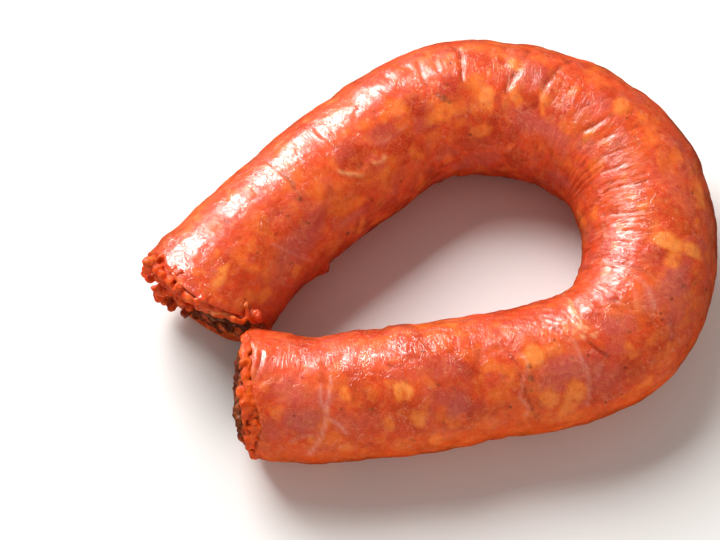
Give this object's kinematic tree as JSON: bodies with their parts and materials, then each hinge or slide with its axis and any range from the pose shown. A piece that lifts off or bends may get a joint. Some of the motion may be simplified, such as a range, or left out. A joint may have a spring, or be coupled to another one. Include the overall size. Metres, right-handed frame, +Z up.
{
  "type": "cured sausage",
  "caption": "Thick cured sausage bent into a horseshoe, lying flat, with both ends broken off so the coarse red meat stands out of its glossy natural casing.",
  "frame": {"origin": "middle of the bounding box's underside, on the surface that the sausage lies on", "axes": "+X runs from the two broken ends to the bend, +Y towards the back arm, +Z up"},
  "size_m": [0.1544, 0.123, 0.037],
  "materials": {
    "cured_meat": null
  },
  "bodies": {
    "root": {"sausage": "cured_meat"}
  },
  "joints": []
}
